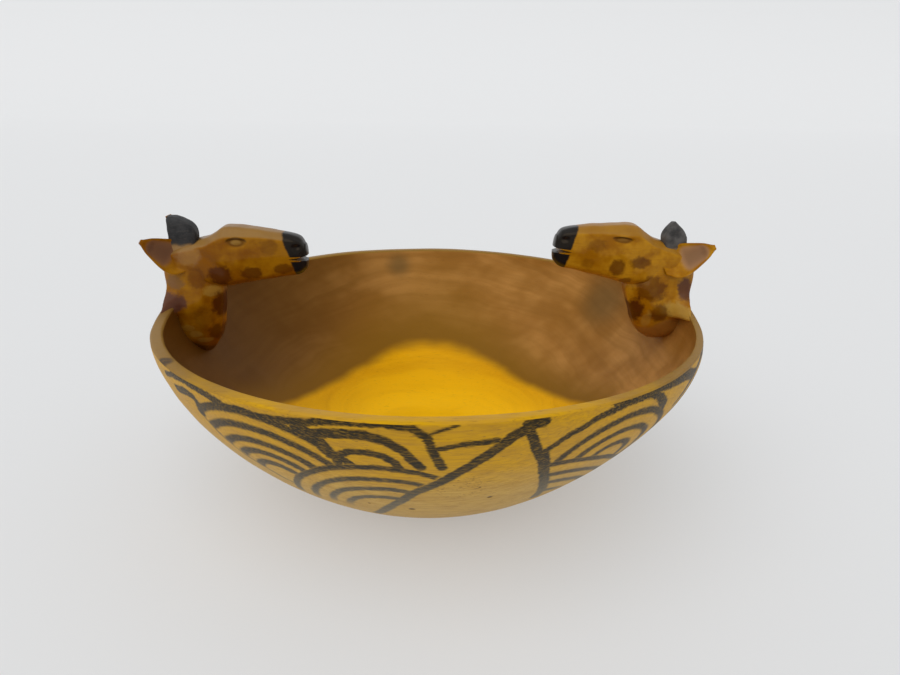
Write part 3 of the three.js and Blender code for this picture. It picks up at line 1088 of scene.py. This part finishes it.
def horn_rings(name, mirror):
    """The horn away from the camera stands a little farther out and lower than the near one."""
    far = mirror != (SIDES[name] > 0)
    angles = np.linspace(0, 2 * math.pi, HORN_SIDES, endpoint=False)
    squared = [np.sign(v) * np.abs(v) ** (2 / HORN_SQUARENESS) for v in (np.cos(angles), np.sin(angles))]
    rings = []
    for z, x, half_length, half_width in interpolated(HORN_STATIONS[name], HORN_RINGS):
        outward = x + far * FAR_HORN_SHIFT + squared[0] * half_length
        across = HORN_OFFSET + squared[1] * half_width
        level = np.full(HORN_SIDES, z - far * FAR_HORN_DROP)
        rings.append(np.column_stack([outward, across, level]))
    return mirrored(np.array(rings), mirror)


# How deep and how wide the knife's marks are.
NECK_MARKS = (0.35, 5.0)
HEAD_MARKS = (0.22, 5.0)
HORN_MARKS = (0.3, 3.0)


def knife_cut(rings, amount, scale, seed):
    """Small flats and hollows left by the knife."""
    outward = unit(rings - rings.mean(1, keepdims=True))
    moves = smooth_noise(rings.reshape(-1, 3), scale, seed).reshape(rings.shape[:2])
    return rings + outward * (moves * amount)[..., None]


# ---------------- giraffe materials

SPOT_BROWN = (0.075, 0.016, 0.002)
SPOT_PURPLE = (0.085, 0.030, 0.024)
GREY_BROWN = (0.17, 0.085, 0.035)
PALE = (0.44, 0.28, 0.06)
PALE_GREY = (0.36, 0.25, 0.14)

# Spots on the coat, each with its place and half sizes in the giraffe's frame, its strength and its colour.
Spot = namedtuple("Spot", "x z half_length half_height strength colour", defaults=(SPOT_BROWN,))

SPOTS = {
    "left": [
        Spot(55.9, 21.7, 3.0, 2.8, 0.35),
        Spot(62.7, 12.4, 3.5, 2.2, 0.8),
        Spot(51.7, 14.0, 3.3, 1.8, 0.7),
        Spot(73.4, 11.9, 4.0, 3.3, 0.95),
        Spot(81.6, 10.9, 3.4, 3.4, 0.45),
        Spot(89.4, 9.2, 3.4, 2.4, 0.7, GREY_BROWN),
        Spot(90.2, 2.2, 4.4, 3.3, 0.9, SPOT_PURPLE),
        Spot(83.6, 18.4, 4.2, 3.4, 0.22, PALE_GREY),
        Spot(76.5, 6.0, 3.0, 2.0, 0.4, PALE),
        Spot(74.9, 0.3, 2.5, 4.3, 1.0),
        Spot(80.5, -3.5, 3.2, 4.0, 0.35),
        Spot(77.5, -10.4, 2.3, 3.8, 0.75),
        Spot(86.6, -7.6, 2.2, 1.3, 0.25, PALE),
        Spot(84.4, -10.4, 2.4, 1.3, 0.35, PALE),
        Spot(82.0, -13.0, 2.6, 1.2, 0.45, PALE),
    ],
    "right": [
        Spot(58.1, 23.6, 3.5, 2.1, 0.35),
        Spot(55.5, 17.2, 2.4, 1.6, 0.3),
        Spot(66.0, 15.9, 2.7, 2.7, 0.75),
        Spot(73.9, 17.8, 3.4, 2.2, 0.7),
        Spot(78.9, 8.3, 5.0, 4.2, 0.7),
        Spot(90.9, 8.4, 2.7, 3.7, 0.9, SPOT_PURPLE),
        Spot(87.5, 1.0, 4.4, 2.8, 0.6, PALE),
        Spot(74.2, -0.5, 2.6, 4.6, 1.0),
        Spot(82.6, -0.6, 3.2, 3.4, 0.7),
        Spot(69.5, 11.0, 2.0, 1.2, 0.6),
        Spot(78.6, -3.6, 1.4, 3.2, 0.35, PALE),
    ],
}

# Each giraffe's own amber, dark and light.
AMBERS = {
    "left": ((0.215, 0.070, 0.0006), (0.33, 0.137, 0.003)),
    "right": ((0.29, 0.108, 0.001), (0.45, 0.21, 0.008)),
}
COAT_FIBRE_BROWN = (0.20, 0.07, 0.004)
# Each head's lighter tan on the faces that look up.
UP_FACING_TANS = {"left": (0.255, 0.145, 0.045), "right": (0.29, 0.135, 0.016)}
SOCKET_BROWN = (0.11, 0.04, 0.004)
EYEBALL_BROWN = (0.34, 0.19, 0.04)
EYEBALL_SHARES = {"left": 0.75, "right": 0.25}
LID_BROWN = (0.045, 0.02, 0.006)
# Black paint, a touch bluish for a painted sheen.
BLACK = (0.005, 0.006, 0.008)
EAR_SKINS = {"left": (0.19, 0.09, 0.05), "right": (0.36, 0.20, 0.11)}
EAR_SHADOW = (0.05, 0.022, 0.018)
CHARCOALS = {
    "left": ((0.010, 0.010, 0.011), (0.034, 0.033, 0.033)),
    "right": ((0.030, 0.029, 0.028), (0.095, 0.088, 0.082)),
}
HORN_FIBRE_BROWN = (0.10, 0.085, 0.07)
HORN_FOOT_BROWN = (0.30, 0.17, 0.06)


def coat_of(made, name):
    """Colour and fibres of one giraffe's coat, and the place in the giraffe's own frame."""
    place = made.place
    side = float(SIDES[name])
    x, y, z = place.parts()
    x, y, z = x * side, y * side, z - RIM_HEIGHT
    fibres = place.stretched(0.16, 2.0).noise(3.0, 0.6)
    blotches = place.stretched(0.11, 0.11).noise(3.0, 0.6)
    ragged = place.stretched(0.5, 0.5).noise(3.0, 0.6) - 0.5
    colour = blotches.step(0.38, 0.66).mixed(*AMBERS[name])
    colour = (fibres.step(0.45, 0.8) * 0.3).mixed(colour, COAT_FIBRE_BROWN)
    for spot in SPOTS[name]:
        dx = (x - spot.x) / spot.half_length
        dz = (z - spot.z) / spot.half_height
        distance = (dx * dx + dz * dz).math("SQRT") + ragged * 1.1
        colour = (distance.step(1.3, 0.75) * spot.strength).mixed(colour, spot.colour)
    return colour, fibres, (x, y, z)


def head_wood(name):
    """The coat, lighter tan on the faces that look up, with brown eyes and a black muzzle around an
    unpainted mouth.
    """
    made = Material(f"{name}_head_wood", GOLD, coat=0.2, coat_roughness=0.16)
    coat, fibres, (x, y, z) = coat_of(made, name)
    pose = POSES[name]
    level = z - (float(POLL[0]) - x) * math.tan(math.radians(pose.tilt)) - pose.lift
    normal = Field(made.tree, made.tree.nodes.new("ShaderNodeNewGeometry").outputs["Normal"])
    facing_up = normal.parts()[2].step(0.25, 0.7)
    eye_x = (x - float(EYE[0])) / EYE_HALF_LENGTH
    eye_z = (level - float(EYE[2])) / EYE_HALF_HEIGHTS[name]
    from_eye = (eye_x * eye_x + eye_z * eye_z).math("SQRT")
    side_on = abs(y).step(2.6, 3.6)
    lid = abs(eye_z - 1.0 + eye_x * eye_x * 0.45).step(0.5, 0.15) * abs(eye_x).step(1.4, 1.0)
    wandering = made.place.stretched(0.35, 0.35).noise(3.0, 0.6) - 0.5
    muzzle = (x + wandering * 1.6 - (level - 20.0) * 0.28).step(50.4, 49.6)
    inside_mouth = abs(level - MOUTH_HEIGHT).step(0.95, 0.75) * x.step(45.2, 45.8)
    painted = muzzle * (1.0 - inside_mouth)
    colour = layered(
        coat,
        (facing_up * 0.75, UP_FACING_TANS[name]),
        (from_eye.step(1.35, 0.8) * side_on * 0.75, SOCKET_BROWN),
        (from_eye.step(0.8, 0.4) * side_on * EYEBALL_SHARES[name], EYEBALL_BROWN),
        (lid * side_on * 0.75, LID_BROWN),
        (painted, BLACK),
    )
    roughness = 0.36 + fibres * 0.16 - painted * 0.12
    return made.finish(colour, roughness, fibres * 0.05, 0.5)


# The lowest part of each neck is brown like the inside, below a line that climbs toward the wall.
NECK_PAINT_FLOOR = {"left": -19.0, "right": -8.5}
NECK_PAINT_CLIMB = 0.5
# On the left the foot's brown is the inside's darker brown of painted shade.
NECK_FOOT_BROWNS = {"left": SHADED_BROWN, "right": BROWN}


def neck_wood(name):
    made = Material(f"{name}_neck_wood", GOLD, coat=0.2, coat_roughness=0.16)
    coat, fibres, (x, _, z) = coat_of(made, name)
    wander = made.place.stretched(0.2, 0.2).noise(2.0, 0.5) * 4.0 - 2.0
    above_line = z - NECK_PAINT_FLOOR[name] - (x - 76.0) * NECK_PAINT_CLIMB + wander
    colour = (above_line.step(1.2, -1.2) * 0.9).mixed(coat, NECK_FOOT_BROWNS[name])
    return made.finish(colour, 0.38 + fibres * 0.16, fibres * 0.05, 0.5)


def ear_wood(name):
    made = Material(f"{name}_ear_wood", GOLD, coat=0.1, coat_roughness=0.2)
    coat, fibres, _ = coat_of(made, name)
    attribute = made.tree.nodes.new("ShaderNodeAttribute")
    attribute.attribute_name = "hollow"
    hollow = Field(made.tree, attribute.outputs["Fac"])
    colour = layered(
        coat,
        (hollow.step(0.45, 0.8) * 0.8, EAR_SKINS[name]),
        (hollow.step(0.55, 1.1) * 0.5, EAR_SHADOW),
    )
    return made.finish(colour, 0.42 + fibres * 0.16, fibres * 0.05, 0.5)


def horn_wood(name):
    made = Material(f"{name}_horn_wood", (1, 1, 1))
    place = made.place
    _, _, z = place.parts()
    fibres = place.stretched(0.4, 2.2).noise(3.0, 0.6)
    blotches = place.stretched(0.3, 0.3).noise(3.0, 0.6)
    colour = layered(
        blotches.step(0.3, 0.7).mixed(*CHARCOALS[name]),
        (fibres.step(0.5, 0.8) * 0.4, HORN_FIBRE_BROWN),
    )
    foot = (z - RIM_HEIGHT + blotches * 3.0).step(25.0, 23.0)
    colour = foot.mixed(colour, HORN_FOOT_BROWN)
    return made.finish(colour, 0.5 + fibres * 0.2, fibres * 0.06, 0.6)


def add_carving(node, rings, side, material):
    """A giraffe's piece, from rings in the giraffe's frame."""
    vertices, faces = closed_loft(to_bowl(rings, side))
    return add_piece(f"{node}_carving", vertices, faces, material, node, sharp_angle=50)


def make_giraffe(name):
    side = SIDES[name]
    pose = POSES[name]
    seed = 20 + side
    neck = knife_cut(neck_rings(name), *NECK_MARKS, seed)
    add_carving(f"{name}_neck", neck, side, neck_wood(name))
    head = carve_face(knife_cut(head_rings(), *HEAD_MARKS, seed + 3), EYE_HALF_HEIGHTS[name])
    head_piece = add_carving(f"{name}_head", posed(head, pose), side, head_wood(name))
    cut(head_piece, mouth_wedge(pose, side))
    ear_material = ear_wood(name)
    horn_material = horn_wood(name)
    for mirror in (False, True):
        where = "front" if mirror == (side > 0) else "back"
        ear = ear_rings(EAR_ROOTS[name], EAR_TIPS[name][where], mirror)
        mark_hollow(add_carving(f"{name}_{where}_ear", ear, side, ear_material), mirror)
        horn = knife_cut(horn_rings(name, mirror), *HORN_MARKS, seed + 7 + mirror)
        add_carving(f"{name}_{where}_horn", horn, side, horn_material)


def mark_hollow(piece, mirror):
    """A mark from 0 to 1 on each vertex of an ear: 1 in the scoop of its face."""
    angles = np.linspace(0, 2 * math.pi, EAR_SIDES, endpoint=False)
    across = np.clip(np.sin(angles), 0, 1)
    if mirror:
        across = across[::-1]
    share = np.linspace(0, 1, EAR_RINGS)
    along = np.clip((share - 0.15) / 0.3, 0, 1) * np.clip((1 - share) / 0.2, 0, 1)
    marks = np.concatenate([(along[:, None] * across).ravel(), [0, 0]])
    attribute = piece.data.attributes.new("hollow", "FLOAT", "POINT")
    attribute.data.foreach_set("value", marks.astype(np.float32))


# ---------------- the scene

bpy.context.scene.view_settings.view_transform = "Standard"
make_camera()
make_world()
make_window_light()
make_floor()
make_bowl(outside_wood(), rim_wood(), inside_wood())
for giraffe_name in SIDES:
    make_giraffe(giraffe_name)
